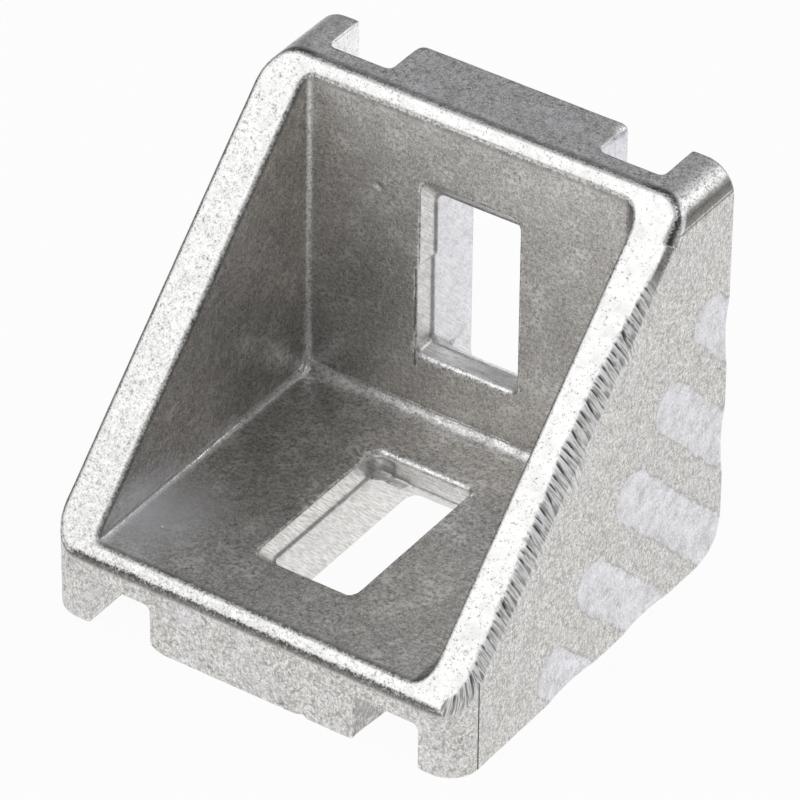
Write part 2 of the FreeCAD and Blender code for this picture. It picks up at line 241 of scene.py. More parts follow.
def ramp_junction(points):
    """The floor sweeps up to the upright in a wider curve than the upright meets it with."""
    depth = BACK - points[:, 1]
    away, over = depth - WALL, points[:, 2] - WALL
    start = JUNCTION_RAMP * math.sin(math.radians(60))
    short = np.clip(JUNCTION - away, 0, JUNCTION)
    old = JUNCTION - np.sqrt(np.maximum(JUNCTION ** 2 - short ** 2, 0))
    short = np.clip(start - away, 0, start)
    new = JUNCTION_RAMP - np.sqrt(JUNCTION_RAMP ** 2 - short ** 2)
    there = (np.abs(points[:, 0]) < CHEEK_INSIDE + 0.2) & (away > -0.05) & (over > -0.3)
    there &= over < old + 0.12
    side = CHEEK_INSIDE - np.abs(points[:, 0])
    lift = np.maximum(new - old, 0) * there * ease(0.0, 0.9, side)
    points[:, 2] += lift


def mouth_chamfer(x, wall, along, upright):
    """How far each point stands out past the chamfer at a slot's near end."""
    corner = np.clip(np.abs(x) - (SLOT_HALF + LEDGE - SLOT_CORNER), 0, SLOT_CORNER)
    end = MOUTH_NEAR + SLOT_CORNER - np.sqrt(SLOT_CORNER ** 2 - corner ** 2)
    size = 0.27 + 0.07 * ripple_along(x, 0.8, 5.0 + upright)
    return np.maximum((wall - WALL) + (along - end) + size, 0) * (along < end + 0.06)


def foot_slot_flaws(x, wall, along):
    """A recess in the near end's left corner, and the tongue of flash below it."""
    recess = -0.14 * (1 - ease(-3.0, -2.8, x)) * within(PARTING + 0.1, WALL - 0.7, 0.15, wall)
    recess *= 1 - ease(MOUTH_NEAR + 0.3, MOUTH_NEAR + 1.2, along)
    tongue = within(-4.2, -1.7, 0.4, x) * within(PARTING - 0.1, PARTING + 0.05, 0.12, wall)
    tongue *= ease(MOUTH_NEAR - 0.05, MOUTH_NEAR + 0.2, along) * (along < MOUTH_NEAR + 0.6)
    reach = 0.75 + 0.2 * ripple_along(x, 0.5, 3.0)
    return recess, reach * tongue


def trim_mouths(points):
    """Chamfers, burrs and slips where the dies met in the slots."""
    for upright in (False, True):
        wall, along = leg_place(points, upright)
        near = ((np.abs(points[:, 0]) < SLOT_HALF + 0.6) & (wall > 0.2) & (wall < WALL + 0.2)
                & (along > 11.5) & (along < 31))
        index = np.nonzero(near)[0]
        x, wall, along = points[index, 0], wall[index], along[index]

        left = within(-SLOT_HALF - LEDGE - 0.1, -SLOT_HALF + 0.1, 0.15, x)
        parting = within(PARTING - 0.08, PARTING + 0.08, 0.3, wall)
        burr = 0.09 * ripple_along(along, 1.1, 2.0 + upright)
        burr += 0.05 * ripple_along(along, 0.35, 9.0)
        sideways = burr * left * parting
        chamfer = mouth_chamfer(x, wall, along, upright)
        lengthways = -chamfer / 2
        if upright:
            lower = 1 - ease(20.9, 21.5, along)
            sideways += -0.22 * left * lower * ease(0.3, 3.5, wall)
        else:
            for flaw in foot_slot_flaws(x, wall, along):
                lengthways = lengthways + flaw
        points[index] += leg_move(upright, sideways, -chamfer / 2, lengthways)


DENTS = (
    # x, depth, height, radius, how deep
    (-8.4, 7.2, 27.2, 0.40, 0.14),
    (5.3, 5.7, 36.0, 0.60, 0.16),
    (2.7, 36.0, 0.5, 0.55, 0.28),
    (4.6, 36.0, 0.1, 0.60, 0.20),
    (9.4, 7.2, 15.2, 0.35, 0.08),
    (-12.2, 30.5, 7.2, 0.35, 0.07),
    (17.2, 32.6, 9.8, 0.30, 0.06),
)


def dent(points, normals):
    for x, depth, height, radius, deep in DENTS:
        centre = np.array([x, BACK - depth, height])
        share = np.clip(1 - ((points - centre) ** 2).sum(axis=1) / radius ** 2, 0, 1) ** 2
        points -= normals * (deep * share)[:, None]


def round_lower_edge(points):
    """The rim's lower edge is rubbed rounder than the rest."""
    radius = 0.95
    depth = BACK - points[:, 1]
    centre = (LEG - radius, TIP_HEIGHT - radius * (math.sqrt(2) - 1))
    out, up = depth - centre[0], points[:, 2] - centre[1]
    distance = np.hypot(out, up)
    there = (up > 0) & (out > up) & (distance > radius) & (distance < radius + 0.6)
    share = there * (1 - ease(15.8, 18.2, np.abs(points[:, 0])))
    pull = share * (1 - radius / np.maximum(distance, 0.1))
    points[:, 1] += out * pull
    points[:, 2] -= up * pull


def knock_off(points, through, way, where):
    """Flatten what stands out past a plane."""
    way = np.array(way) / np.linalg.norm(way)
    past = np.maximum((points - np.array(through)) @ way, 0) * where
    points -= past[:, None] * way


def wear_pad(points):
    """The foot's pad lost its lower left corner."""
    tip = (points[:, 2] < 3) * (np.abs(points[:, 0]) < 11)
    tip = tip * (1 - ease(-BACK + 0.5, -BACK + 4.5, points[:, 1]))
    knock_off(points, (-PAD_HALF, -BACK, 0.75), (-0.47, 0.0, -0.88), tip * (points[:, 0] < -5))
    in_x, in_z = round_between(PAD_HALF - points[:, 0], points[:, 2], 0.8)
    points[:, 0] -= in_x * tip * (points[:, 0] > 5)
    points[:, 2] += in_z * tip * (points[:, 0] > 5)


def round_between(inward, other, radius):
    """How far each point moves in from two faces, to round the edge between them."""
    first, second = radius - inward, radius - other
    distance = np.hypot(first, second)
    there = (first > 0) & (second > 0) & (distance > radius)
    pull = there * (1 - radius / np.maximum(distance, 0.1))
    return first * pull, second * pull


def wear_top_pad(points):
    """The upright's pad lost both corners of its end."""
    x, depth, z = points[:, 0], BACK - points[:, 1], points[:, 2]
    pad = (depth < 4.0) & (np.abs(x) < PAD_HALF + 0.1) & (z > 33)
    in_x, in_depth = round_between(x + PAD_HALF, depth, 0.25 + 1.1 * ease(33.4, 35.8, z))
    left = pad & (x < 0)
    points[:, 0] += in_x * left
    points[:, 1] -= in_depth * left
    in_x, in_z = round_between(PAD_HALF - x, LEG - z, 0.3 + 0.7 * ease(3.6, 0.5, depth))
    right = pad & (x > 0)
    points[:, 0] -= in_x * right
    points[:, 2] -= in_z * right


def score_tangents(points):
    """Fine grooves on the right cheek, where its end roundings start."""
    depth = BACK - points[:, 1]
    face = points[:, 0] > HALF_WIDTH - 0.3
    front = within(0.3, 8.4, 0.3, points[:, 2]) * np.exp(-((depth - FRONT_LINE) / 0.09) ** 2)
    top = within(0.6, 7.4, 0.3, depth) * np.exp(-((points[:, 2] - TOP_LINE) / 0.09) ** 2)
    points[:, 0] -= 0.07 * face * np.maximum(front, 0.5 * top)


def subdivide_bevel(mesh):
    """Finer faces where the file marks and the fine grooves go."""
    work = bmesh.new()
    work.from_mesh(mesh)
    edges = []
    for edge in work.edges:
        x, y, z = (edge.verts[0].co + edge.verts[1].co) / (2 * MM)
        height = (BACK - y + z - RIM_SUM) / math.sqrt(2)
        bevel = height > -1.3 and x > 15.5 and (x > HALF_WIDTH - 1.9 or y < -14.5)
        front = abs(BACK - y - FRONT_LINE) < 0.35 and z < 8.8
        top = abs(z - TOP_LINE) < 0.35 and BACK - y < 8.6
        if bevel or (x > HALF_WIDTH - 0.3 and (front or top)):
            edges.append(edge)
    bmesh.ops.subdivide_edges(work, edges=edges, cuts=1, use_grid_fill=True)
    bmesh.ops.triangulate(work, faces=[face for face in work.faces if len(face.verts) > 4])
    work.to_mesh(mesh)
    work.free()
    mesh.update()


def cover_solid():
    """Fine even mesh that lies on the CAD surface, with its edges a little worn."""
    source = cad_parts[NODE]
    obj = new_object("casting", source.data.copy())
    obj.data.name = "casting"
    weld = obj.modifiers.new("weld", "WELD")
    weld.merge_threshold = 1e-6
    apply_modifiers(obj)
    remesh = obj.modifiers.new("remesh", "REMESH")
    remesh.mode = "VOXEL"
    remesh.voxel_size = VOXEL * MM
    remesh.adaptivity = 0.0
    apply_modifiers(obj)
    wrap = obj.modifiers.new("wrap", "SHRINKWRAP")
    wrap.target = source
    wrap.wrap_method = "NEAREST_SURFACEPOINT"
    worn = obj.modifiers.new("worn", "SMOOTH")
    worn.factor = 0.5
    worn.iterations = 3
    apply_modifiers(obj)
    subdivide_bevel(obj.data)
    return obj


def mark_and_wear(mesh):
    """Give the mesh the casting's file marks, burrs, worn edges, dents and uneven skin."""
    points = read(mesh)
    for shape in (ramp_junction, round_lower_edge, trim_mouths, file_rim_edge, wear_pad,
                  wear_top_pad, score_tangents):
        shape(points)
    write(mesh, points)
    points, normals = read(mesh), read(mesh, "normal")
    dent(points, normals)
    uneven = 0.014 * ripple(points, 2.2) + 0.006 * ripple(points, 0.7, 4.0)
    points += normals * uneven[:, None]
    write(mesh, np.clip(points, LOW, HIGH))


def thin_out(obj):
    """Fewer triangles, shaded with the fine mesh's normals."""
    full = new_object("full", obj.data.copy())
    full.data.polygons.foreach_set("use_smooth", [True] * len(full.data.polygons))
    thin = obj.modifiers.new("thin", "DECIMATE")
    thin.ratio = min(1.0, MOST_TRIANGLES / (2 * len(obj.data.polygons)))
    apply_modifiers(obj)
    write(obj.data, np.clip(read(obj.data), LOW, HIGH))
    obj.data.polygons.foreach_set("use_smooth", [True] * len(obj.data.polygons))
    copy = obj.modifiers.new("normals", "DATA_TRANSFER")
    copy.object = full
    copy.use_loop_data = True
    copy.data_types_loops = {"CUSTOM_NORMAL"}
    copy.loop_mapping = "POLYINTERP_NEAREST"
    apply_modifiers(obj)
    bpy.data.objects.remove(full)


def make_casting():
    obj = cover_solid()
    mark_and_wear(obj.data)
    thin_out(obj)
    paint_marks(obj.data)
    return obj


# ---------------------------------------------------------------- marks for the material
def paint(mesh, name, values):
    """Keep a number for each point, for the material to read."""
    layer = mesh.attributes.new(name, "FLOAT", "POINT")
    layer.data.foreach_set("value", np.ascontiguousarray(values, dtype=np.float32))


def bend(mesh, points):
    """How sharply the surface turns at each point: above 0 on ridges, below in hollows."""
    normals = read(mesh, "normal")
    ends = np.empty(len(mesh.edges) * 2, dtype=np.int64)
    mesh.edges.foreach_get("vertices", ends)
    a, b = ends.reshape(-1, 2).T
    step = points[b] - points[a]
    length = np.maximum(np.linalg.norm(step, axis=1), 1e-3)
    turn = ((normals[b] - normals[a]) * step).sum(axis=1) / length ** 2
    total = np.bincount(a, turn, len(points)) + np.bincount(b, turn, len(points))
    count = np.bincount(a, minlength=len(points)) + np.bincount(b, minlength=len(points))
    return total / np.maximum(count, 1)


def flute_share(points):
    """1 in the shallow flutes of the cheeks, 0 on the flat between them."""
    depth = BACK - points[:, 1]
    across = (points[:, 2] - depth) / math.sqrt(2)
    toward_rim = (points[:, 2] + depth) / math.sqrt(2)
    row = np.clip(np.round(across / FLUTE_PITCH), -2, 2)
    beside = across - row * FLUTE_PITCH
    beyond = np.maximum(toward_rim - (FLUTE_END - FLUTE_HALF), 0)
    reach = np.hypot(beside, beyond) + 0.3 * ripple(points, 1.5, 7.0)
    outside = ease(HALF_WIDTH - 0.6, HALF_WIDTH - 0.4, np.abs(points[:, 0]))
    return (1 - ease(FLUTE_HALF - 0.6, FLUTE_HALF + 0.1, reach)) * outside


def paint_marks(mesh):
    points = read(mesh)
    height, along = rim_place(points)
    inside = rim_outline(points)[0]
    on_rim, on_cheek = bevel_legs(points, along)
    cut = inside / np.maximum(on_rim, 1e-3) - height / np.maximum(on_cheek, 1e-3)
    tooth, strength = tooth_place(points, inside, height, along)
    reach = 1.06 + 0.13 * strength * tooth
    filed = 1 - ease(reach, reach + 0.12, cut)
    filed *= (points[:, 0] > FILED_FROM) * ease(0.12, 0.25, on_rim) * (height > -1.4)
    paint(mesh, "filed", filed)
    paint(mesh, "flute", flute_share(points))
    paint(mesh, "bend", bend(mesh, points))


# ---------------------------------------------------------------- materials
WHITE = (1.0, 1.0, 1.0, 1)
WARM_WHITE = (1.0, 1.0, 0.98, 1)
SLOT_WHITE = (1.0, 0.99, 0.97, 1)
RIM_BRIGHT, RIM_PITS = (0.93, 0.92, 0.895, 1), (0.55, 0.54, 0.515, 1)
OUTSIDE_BRIGHT, OUTSIDE_DARK = (0.85, 0.83, 0.805, 1), (0.42, 0.41, 0.39, 1)
OUTSIDE_DIRT, OUTSIDE_CRACKS = (0.30, 0.295, 0.28, 1), (0.20, 0.195, 0.18, 1)
INSIDE_BRIGHT, INSIDE_DARK = (0.86, 0.84, 0.81, 1), (0.28, 0.265, 0.25, 1)
INSIDE_SCRATCHES, INSIDE_BLOTCHES = (0.95, 0.95, 0.94, 1), (0.95, 0.93, 0.88, 1)
# INSIDE_GLOW is a painted reflection: a pale bluish patch on the floor
INSIDE_GLOW = (0.93, 0.94, 0.98, 1)
# LAVENDER colours are a painted reflection on the drawn faces and flutes, also used for random
# patches on the outside
LAVENDER_BRIGHT, LAVENDER_DARK = (0.93, 0.92, 0.97, 1), (0.60, 0.59, 0.62, 1)
# SLOT_DARK and SLOT_WHITE make the slots' drag marks, which are brightened in the slots as painted
# light
SLOT_DARK = (0.64, 0.63, 0.61, 1)
FILED_BRIGHT, FILED_DARK = (1.0, 0.99, 0.96, 1), (0.44, 0.425, 0.40, 1)
# FILED_POCKET_SHADE is painted shade at each file mark's upper end
FILED_POCKET_SHADE = (0.03, 0.03, 0.03, 1)
WORN_BRIGHT, WORN_DARK = (0.62, 0.61, 0.58, 1), (0.30, 0.29, 0.27, 1)
# FLUTE_EDGE_SHADE is painted shade along the flutes' edges
# PAD_SIDE_SHADE is painted shade, in streaks, on the foot pad's right side
FLUTE_EDGE_SHADE, PAD_SIDE_SHADE = (0.36, 0.35, 0.33, 1), (0.30, 0.295, 0.29, 1)
# EAR_HIGHLIGHT is a painted highlight and EAR_SHADE painted shade, both on the right ear's rounding
EAR_HIGHLIGHT, EAR_SHADE = (0.97, 0.965, 0.94, 1), (0.16, 0.155, 0.14, 1)
# CREVICE_SHADE is painted shade in creases
LEFT_EDGE, CREVICE_SHADE = (0.12, 0.115, 0.105, 1), (0.2, 0.19, 0.18, 1)
# EDGE_SHADE is painted shade along the rounded edges under the rim
EDGE_SHADE, GROOVE = (0.07, 0.068, 0.062, 1), (0.08, 0.08, 0.075, 1)
# centre and reach of the pale painted reflection on the floor
GLOW_CENTRE = (-13.0 * MM, (BACK - 29.0) * MM, 7.5 * MM)
GLOW_REACH = (5 * MM, 7 * MM, 3.5 * MM)


class Nodes:
    """Short way to build a node tree."""

    def __init__(self, material):
        material.use_nodes = True
        self.tree = material.node_tree
        self.tree.nodes.clear()

    def add(self, kind, inputs=None, **settings):
        node = self.tree.nodes.new(kind)
        for key, value in settings.items():
            setattr(node, key, value)
        for key, value in (inputs or {}).items():
            self.put(node.inputs[key], value)
        return node

    def put(self, socket, value):
        if isinstance(value, bpy.types.NodeSocket):
            self.tree.links.new(value, socket)
        else:
            socket.default_value = value

    def math(self, operation, a, b=0.0):
        return self.add("ShaderNodeMath", {0: a, 1: b}, operation=operation).outputs[0]

    def both(self, a, b):
        """The product: 1 where both are 1."""
        return self.math("MULTIPLY", a, b)

    def less(self, a, b):
        """a where b is 0, nothing where b is 1."""
        return self.both(a, self.math("SUBTRACT", 1.0, b))

    def near(self, value, level):
        """How far a value is from a level."""
        return self.math("ABSOLUTE", self.math("SUBTRACT", value, level))

    def blend(self, a, b, share):
        """A share of b, and the rest of a."""
        return self.math("ADD", self.both(a, 1 - share), self.both(b, share))

    def vector(self, operation, a, b=(0.0, 0.0, 0.0)):
        return self.add("ShaderNodeVectorMath", {0: a, 1: b}, operation=operation).outputs

    def noise(self, vector, scale, detail=2.0, roughness=0.5):
        node = self.add("ShaderNodeTexNoise", {"Vector": vector, "Scale": scale, "Detail": detail,
                                               "Roughness": roughness})
        return node.outputs["Fac"]

    def ramp(self, value, low, high, out_low=0.0, out_high=1.0):
        node = self.add("ShaderNodeMapRange", {"Value": value, "From Min": low, "From Max": high,
                                               "To Min": out_low, "To Max": out_high}, clamp=True)
        return node.outputs["Result"]

    def over(self, place, level, soft):
        """1 where a place in metres is past a level in mm, fading over soft either side."""
        return self.ramp(place, (level - soft) * MM, (level + soft) * MM)

    def mark(self, name):
        """A number that paint_marks kept for each point."""
        return self.add("ShaderNodeAttribute", attribute_name=name).outputs["Fac"]

    def mix(self, share, a, b):
        node = self.add("ShaderNodeMix", data_type="RGBA")
        self.put(node.inputs[0], share)
        self.put(node.inputs[6], a)
        self.put(node.inputs[7], b)
        return node.outputs[2]


class CastMetal(Nodes):
    """Tumbled die casting: bright where it was rubbed, dark grey in the hollow."""

    def __init__(self, material):
        super().__init__(material)
        self.find_places()
        self.make_noises()
        self.find_areas()
        self.follow_file_marks()
        colour = self.main_skins()
        colour = self.slot_skin(colour)
        colour = self.ear_streaks_and_light(colour)
        colour = self.edge_wear_and_light(colour)
        colour = self.single_marks(colour)
        colour = self.mix(self.filed, colour, self.filed_skin())
        self.finish(colour)

    def find_places(self):
        """Where on the casting a point is, in metres, and how its surface lies."""
        self.place = self.add("ShaderNodeTexCoord").outputs["Object"]
        self.x, y, self.z = self.add("ShaderNodeSeparateXYZ", {0: self.place}).outputs
        self.side = self.math("ABSOLUTE", self.x)
        self.depth = self.math("SUBTRACT", BACK * MM, y)
        self.past_rim = self.math("SUBTRACT", self.math("ADD", self.depth, self.z), RIM_SUM * MM)
        self.lowest = self.math("MINIMUM", self.depth, self.z)
        facing = self.add("ShaderNodeNewGeometry").outputs["Normal"]
        self.facing_right = self.add("ShaderNodeSeparateXYZ", {0: facing}).outputs[0]
        self.facing_side = self.math("ABSOLUTE", self.facing_right)
        self.sideways = self.ramp(self.facing_side, 0.6, 0.8)
        self.bend = self.mark("bend")
        rise = self.both(self.math("SUBTRACT", self.z, self.depth), 1 / (math.sqrt(2) * MM))
        self.along = self.math("ADD", rise, RIM_LENGTH / 2)

    def make_noises(self):
        self.speck = self.noise(self.place, 6200, 1.0, 0.6)
        self.medium = self.noise(self.place, 2600, 2.0, 0.65)
        self.coarse = self.noise(self.place, 700, 2.0, 0.6)
        self.cloud = self.noise(self.place, 190, 1.0, 0.6)
        self.spots = self.noise(self.place, 370, 2.0, 0.65)
        self.grain = self.blend(self.speck, self.medium, 0.45)
        self.rough_grain = self.math("SUBTRACT", self.grain, 0.5)
        tall = self.vector("MULTIPLY", self.place, (1.0, 1.0, 0.4))[0]
        self.streaks = self.noise(tall, 4500, 2.0, 0.6)
        draw_line = self.both(self.math("SUBTRACT", self.z, self.depth), 7000)
        draw_way = self.both(self.math("ADD", self.z, self.depth), 500)
        drag = self.add("ShaderNodeCombineXYZ",
                        {0: draw_line, 1: draw_way, 2: self.both(self.x, 500)})
        self.drag = self.noise(drag.outputs[0], 1.0, 2.0, 0.6)

    def find_areas(self):
        """The areas that differ in colour, each 1 inside and 0 outside."""
        fuzzy = self.math("ADD", self.past_rim, self.both(self.rough_grain, 0.9 * MM))
        low_edge = self.ramp(self.math("ADD", self.along, self.rough_grain), 0.28, 0.08)
        low_edge = self.both(low_edge, self.ramp(self.side, 17.4 * MM, 16.4 * MM))
        self.rim = self.less(self.over(fuzzy, -0.13, 0.09), low_edge)
        self.front = self.over(self.depth, LEG - 0.7, 0.2)
        walls = self.less(self.over(self.lowest, WALL - 0.15, 0.1),
                          self.over(self.side, CHEEK_INSIDE + 0.45, 0.1))
        self.hollow = self.less(walls, self.rim)
        wider = self.both(self.math("MAXIMUM", self.front, walls), -0.22 * MM)
        reach = self.math("ADD", fuzzy, wider)
        above = self.less(self.over(fuzzy, -0.2, 0.1), low_edge)
        # the band just under the rim, which gets painted shade
        self.edge = self.less(self.over(reach, -0.75, 0.15), above)
        self.fuzzy = fuzzy
        # drawn faces: sideways faces inside the walls, given a painted lavender reflection
        inner = self.less(self.sideways, self.over(self.lowest, PARTING - 0.1, 0.1))
        self.drawn = self.both(inner, self.less(self.over(self.z, WALL, 1.0),
                                                self.over(self.side, HALF_WIDTH - 1.5, 0.2)))
        self.slot_wide = self.ramp(self.side, 5.6 * MM, 5.2 * MM)
        middle = self.less(self.ramp(self.side, 6.0 * MM, 5.0 * MM),
                           self.math("MAXIMUM", self.rim, self.hollow))
        self.slots = self.both(middle, self.sideways)
        self.filed = self.mark("filed")
        self.unmarked = self.ramp(self.along, MARKS_END - 2.0, MARKS_END)

    def outside_skin(self):
        """Tumbled skin: light grey grain with specks, thin dark cracks and dirt in its pits."""
        tone = self.blend(self.blend(self.grain, self.coarse, 0.3), self.streaks, 0.25)
        skin = self.mix(self.ramp(tone, 0.41, 0.58), OUTSIDE_DARK, OUTSIDE_BRIGHT)
        crack = self.ramp(self.near(self.noise(self.place, 1100, 2.0, 0.7), 0.5), 0.035, 0.015)
        crack = self.both(crack, self.ramp(self.coarse, 0.50, 0.58))
        skin = self.mix(self.both(crack, 0.55), skin, OUTSIDE_CRACKS)
        skin = self.mix(self.both(self.ramp(self.speck, 0.60, 0.68), 0.6), skin, SLOT_WHITE)
        dirt = self.less(self.ramp(self.medium, 0.42, 0.34),
                         self.over(self.side, HALF_WIDTH - 0.4, 0.1))
        return self.mix(self.both(dirt, 0.6), skin, OUTSIDE_DIRT)

    def lavender_sheen(self):
        # pale lavender: a painted reflection on the drawn faces and in the flutes
        tone = self.blend(self.grain, self.coarse, 0.35)
        return self.mix(self.ramp(tone, 0.38, 0.60), LAVENDER_DARK, LAVENDER_BRIGHT)

    def inside_skin(self):
        """Duller grain in the hollow, with scratches, blotches and one pale patch of painted
        reflection on the floor.
        """
        tone = self.blend(self.grain, self.cloud, 0.12)
        skin = self.mix(self.ramp(tone, 0.34, 0.66), INSIDE_DARK, INSIDE_BRIGHT)
        wide = self.vector("MULTIPLY", self.place, (0.25, 1.0, 1.0))[0]
        scratches = self.ramp(self.noise(wide, 3600, 2.0, 0.7), 0.62, 0.74)
        skin = self.mix(self.both(scratches, 0.5), skin, INSIDE_SCRATCHES)
        blotches = self.both(self.ramp(self.spots, 0.52, 0.66), self.ramp(self.medium, 0.42, 0.56))
        skin = self.mix(self.both(blotches, 0.55), skin, INSIDE_BLOTCHES)
        # painted reflection: a pale bluish patch on the floor near the front left corner
        from_glow = self.vector("SUBTRACT", self.place, GLOW_CENTRE)[0]
        from_glow = self.vector("MULTIPLY", from_glow, [1 / reach for reach in GLOW_REACH])[0]
        glow = self.vector("LENGTH", from_glow)["Value"]
        return self.mix(self.ramp(glow, 1.0, 0.2, 0.0, 0.75), skin, INSIDE_GLOW)

    def rim_skin(self):
        """Rubbed bright, with fewer pits towards the top and the right, and a dark left edge."""
        shift = self.math("ADD", self.both(self.z, 2.4), self.both(self.x, 2.0))
        shift = self.math("ADD", shift, self.ramp(self.x, 8 * MM, 17 * MM, 0.0, 0.03))
        pits = self.math("ADD", self.blend(self.grain, self.coarse, 0.15),
                         self.math("SUBTRACT", shift, 0.04))
        skin = self.mix(self.ramp(pits, 0.33, 0.53), RIM_PITS, RIM_BRIGHT)
        left = self.math("SUBTRACT", self.both(self.rough_grain, 1.2 * MM), self.x)
        return self.mix(self.both(self.ramp(left, 18.72 * MM, 18.88 * MM), 0.8), skin, LEFT_EDGE)

    def main_skins(self):
        """The outside, its flutes and drawn faces, and the hollow."""
        lavender = self.lavender_sheen()
        patches = self.both(self.ramp(self.spots, 0.45, 0.65),
                            self.ramp(self.side, 18.5 * MM, 18.9 * MM, 0.35, 0.15))
        outside = self.mix(patches, self.outside_skin(), lavender)
        colour = self.mix(self.hollow, outside, self.inside_skin())
        # the flutes get the painted lavender reflection too
        flute = self.both(self.mark("flute"), self.ramp(self.coarse, 0.35, 0.6, 0.5, 0.9))
        colour = self.mix(self.math("MAXIMUM", self.drawn, flute), colour, lavender)
        # painted shade: a thin dark line round each flute's edge
        flute_edge_shade = self.ramp(self.near(self.mark("flute"), 0.3), 0.28, 0.08)
        flute_edge_shade = self.both(flute_edge_shade, self.ramp(self.medium, 0.62, 0.46))
        return self.mix(self.both(flute_edge_shade, 0.55), colour, FLUTE_EDGE_SHADE)

    def slot_skin(self, colour):
        """Drag-marked metal in the slots, brightened with painted light, most of all in the foot's
        and near the mouths, and a painted highlight on the step between a slot's halves.
        """
        drag_marks = self.ramp(self.blend(self.drag, self.coarse, 0.25), 0.42, 0.58)
        metal = self.mix(drag_marks, SLOT_DARK, SLOT_WHITE)
        # painted light: the slots' side faces are painted bright, most of all in the foot's
        lit = self.math("ADD", self.ramp(self.z, 8 * MM, 12 * MM, 0.8, 0.15),
                        self.both(self.over(self.lowest, PARTING, 0.1), 0.5))
        colour = self.mix(self.both(self.slots, lit), colour, metal)
        # more painted light on the slots' near ends
        from_corner = self.math("MAXIMUM", self.depth, self.z)
        near_end = self.both(self.ramp(from_corner, 15.5 * MM, 14.5 * MM),
                             self.over(self.lowest, 0.4, 0.2))
        near_end = self.less(self.both(near_end, self.slot_wide),
                             self.math("MAXIMUM", self.hollow, self.sideways))
        colour = self.mix(self.both(near_end, 0.6), colour, metal)
        # painted highlight on the step between a slot's halves
        ledge_highlight = self.ramp(self.near(self.lowest, PARTING * MM), 0.2 * MM, 0.1 * MM)
        ledge_highlight = self.both(ledge_highlight, self.slots)
        return self.mix(self.both(ledge_highlight, 0.6), colour, WHITE)

    def ear_streaks_and_light(self, colour):
        """Scraped streaks on the drawn faces, a painted highlight on the left ears' inner faces,
        and a painted highlight and painted shade on the right ear's rounding.
        """
        # painted highlight on the left ears' inner faces
        left_ear_highlight = self.both(self.drawn, self.ramp(self.x, -14.2 * MM, -14.8 * MM))
        colour = self.mix(self.both(left_ear_highlight, self.ramp(self.grain, 0.40, 0.48)), colour, WHITE)
        scraped = self.both(self.both(self.drawn, self.ramp(self.drag, 0.52, 0.62)), 0.4)
        colour = self.mix(scraped, colour, WHITE)
        ear = self.both(self.over(self.z, TOP_LINE + 0.1, 0.2), self.over(self.x, 15.6, 0.2))
        ear = self.less(self.both(ear, self.ramp(self.depth, 9.5 * MM, 8.5 * MM)), self.rim)
        # painted highlight and painted shade on the right ear's rounding, set by which way each
        # point faces
        ear_highlight = self.both(self.both(ear, self.ramp(self.facing_side, 0.15, 0.35)),
                             self.ramp(self.facing_side, 0.85, 0.65))
        ear_highlight = self.both(ear_highlight, self.ramp(self.grain, 0.42, 0.52))
        colour = self.mix(ear_highlight, colour, EAR_HIGHLIGHT)
        shaded = self.both(self.both(ear, self.ramp(self.facing_side, 0.78, 0.88)),
                           self.ramp(self.facing_side, 1.0, 0.97))
        return self.mix(self.both(shaded, 0.75), colour, EAR_SHADE)

    def edge_wear_and_light(self, colour):
        """Chipped ridges with a painted highlight, painted glints on the slot mouths, a painted
        highlight along the seams in the hollow, and painted shade in crevices and along the line
        under the rim.
        """
        # chipped ridges, partly a painted highlight along convex edges
        chips_and_glints = self.both(self.ramp(self.bend, 0.8, 3.0),
                          self.ramp(self.past_rim, -1.2 * MM, -2.0 * MM))
        chips_and_glints = self.both(chips_and_glints, self.ramp(self.medium, 0.42, 0.52))
        colour = self.mix(self.both(chips_and_glints, 0.7), colour, WARM_WHITE)
        # painted glints on the chamfers of the slots' mouths
        mouth_glints = self.both(self.over(self.lowest, 6.2, 0.2), self.slot_wide)
        mouth_glints = self.both(mouth_glints, self.ramp(self.bend, 0.3, 1.0))
        colour = self.mix(self.both(mouth_glints, self.ramp(self.grain, 0.44, 0.54)), colour, WARM_WHITE)
        # painted shade in creases outside the hollow
        crevice_shade = self.less(self.ramp(self.bend, -0.5, -2.5), self.hollow)
        colour = self.mix(self.both(crevice_shade, 0.5), colour, CREVICE_SHADE)
        # painted highlight along the fillets between the walls in the hollow, strongest near the
        # floor
        seam_highlight = self.both(self.ramp(self.bend, -0.15, -0.55), self.hollow)
        self.seam_highlight = self.both(seam_highlight, self.ramp(self.z, 9 * MM, 12 * MM, 1.0, 0.3))
        seam_highlight = self.both(self.seam_highlight, self.ramp(self.speck, 0.42, 0.54, 0.35, 1.0))
        colour = self.mix(seam_highlight, colour, WHITE)
        # painted shade along the rounded edges under the rim, less in the hollow, on top and at the
        # front
        on_top = self.both(self.over(self.z, 34.9, 0.3),
                           self.ramp(self.side, 15.5 * MM, 14.5 * MM))
        shade_share = self.math("SUBTRACT", 0.92, self.math("ADD", self.both(self.hollow, 0.4),
                                                     self.both(on_top, 0.4)))
        shade_share = self.math("SUBTRACT", shade_share, self.both(self.front, 0.14))
        rubbed = self.both(self.edge, self.ramp(self.grain, 0.62, 0.45, 0.75, 1.0))
        colour = self.mix(self.both(rubbed, shade_share), colour, EDGE_SHADE)
        return self.mix(self.rim, colour, self.rim_skin())

    def single_marks(self, colour):
        """A painted highlight by the rim's top, painted shade in streaks on the foot pad's side,
        and the fine grooves.
        """
        # painted highlight by the rim's top, near the right edge
        rim_top_highlight = self.less(self.over(self.fuzzy, -1.3, 0.15), self.over(self.fuzzy, -0.7, 0.1))
        rim_top_highlight = self.both(rim_top_highlight, self.over(self.x, 17.4, 0.3))
        at_top = self.both(self.ramp(self.along, 38.9, 39.3), self.ramp(self.along, 41.6, 41.2))
        rim_top_highlight = self.both(rim_top_highlight, at_top)
        colour = self.mix(rim_top_highlight, colour, WHITE)
